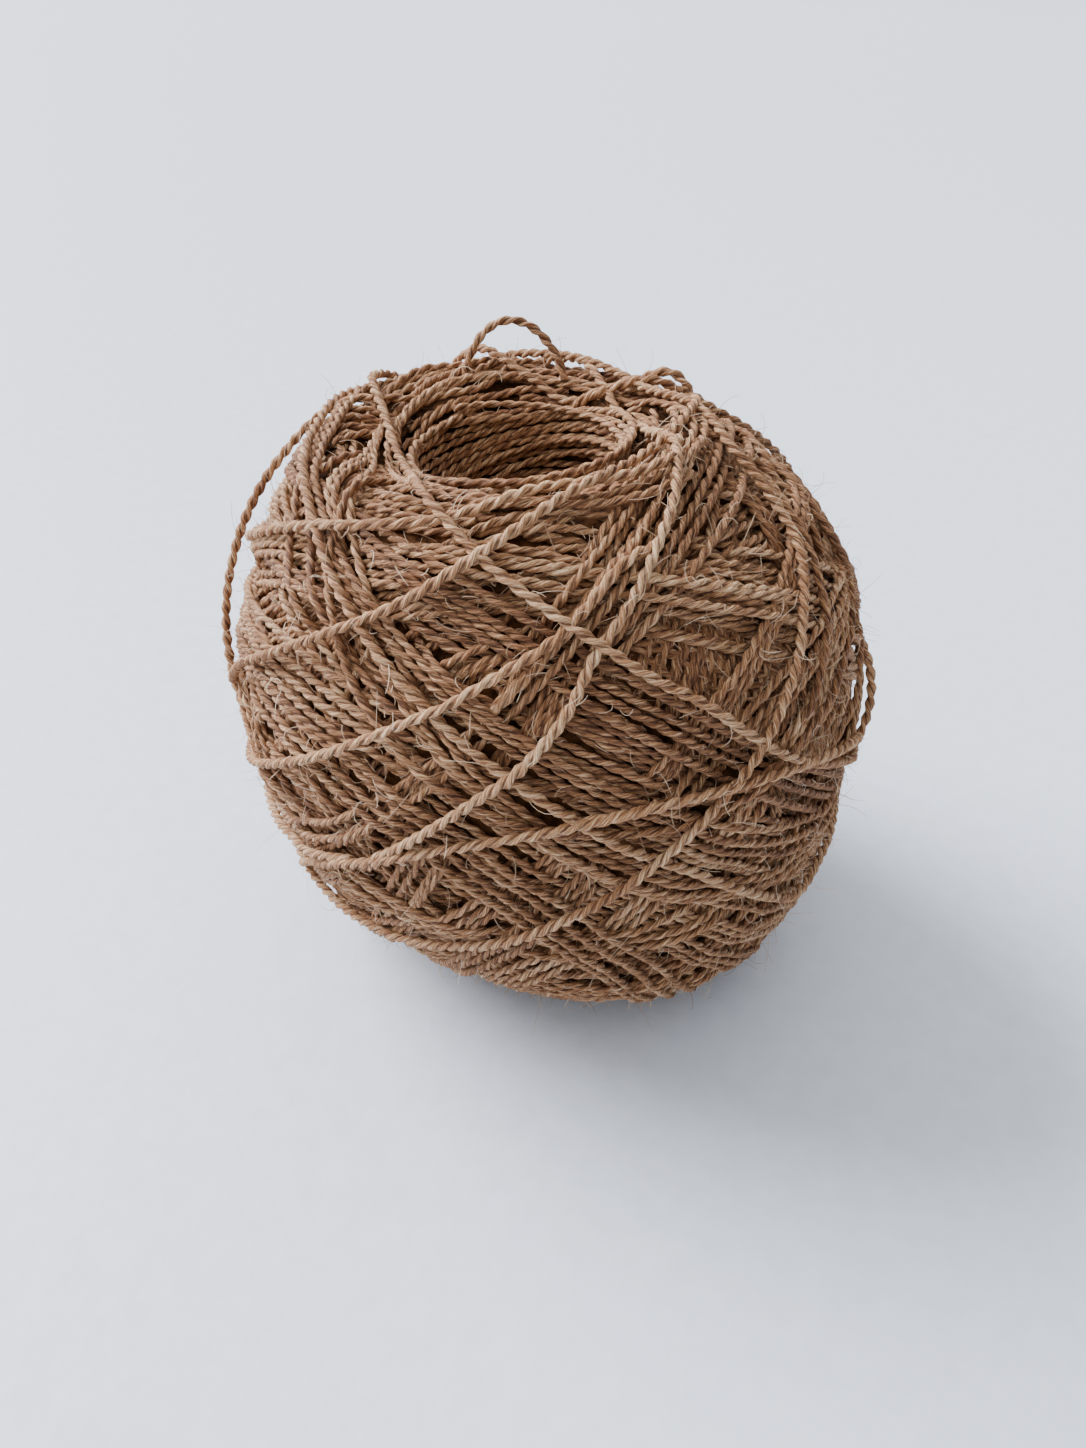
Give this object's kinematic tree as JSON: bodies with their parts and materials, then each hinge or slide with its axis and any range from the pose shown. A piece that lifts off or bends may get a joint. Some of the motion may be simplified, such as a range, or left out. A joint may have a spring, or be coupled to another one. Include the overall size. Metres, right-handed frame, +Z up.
{
  "type": "ball of fingering yarn",
  "caption": "Centre-pull ball of tan two-ply fingering yarn, leaning a little, with an open well at the top and slack loops standing off it.",
  "frame": {"origin": "middle of the overall box, on the plane of the flat spot the ball rests on", "axes": "+Z up away from the surface it rests on, -Y towards the viewer of the picture, +X to the viewer's right; the open well leaves the top, leaning towards -X"},
  "size_m": [0.0902, 0.086, 0.0848],
  "materials": {
    "yarn": "two-ply twisted natural fibre, matt and hairy"
  },
  "bodies": {
    "root": {"wound_ball": "yarn"}
  },
  "joints": []
}
